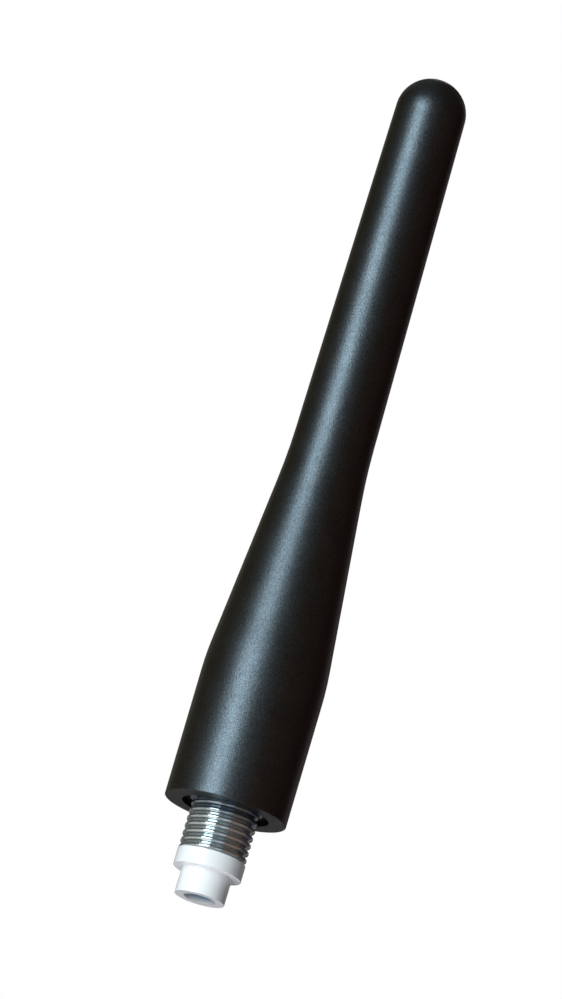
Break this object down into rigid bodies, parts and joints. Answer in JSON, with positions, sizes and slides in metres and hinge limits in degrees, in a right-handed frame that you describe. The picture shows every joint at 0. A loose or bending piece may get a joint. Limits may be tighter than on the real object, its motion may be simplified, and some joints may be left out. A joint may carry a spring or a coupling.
{
  "type": "short whip antenna",
  "caption": "Short flared mast antenna with a domed tip, a threaded mounting stud and an insulated coaxial centre contact.",
  "frame": {"origin": "centre of the jacket's flat foot, which seats on the antenna base", "axes": "+Z along the mast, from its foot towards its tip"},
  "size_m": [0.0172, 0.0172, 0.119],
  "materials": {
    "jacket": "satin black moulding with a fine grain",
    "plated_metal": "bright nickel plate",
    "white_plastic": "glossy white",
    "contact_brass": "bright turned brass",
    "former_plastic": "natural moulded plastic",
    "copper_wire": "bare copper wire"
  },
  "bodies": {
    "root": {"mast_jacket": "jacket", "threaded_stud": "plated_metal", "insulator": "white_plastic", "centre_contact": "contact_brass", "coil_former": "former_plastic", "radiator_coil": "copper_wire"}
  },
  "joints": []
}
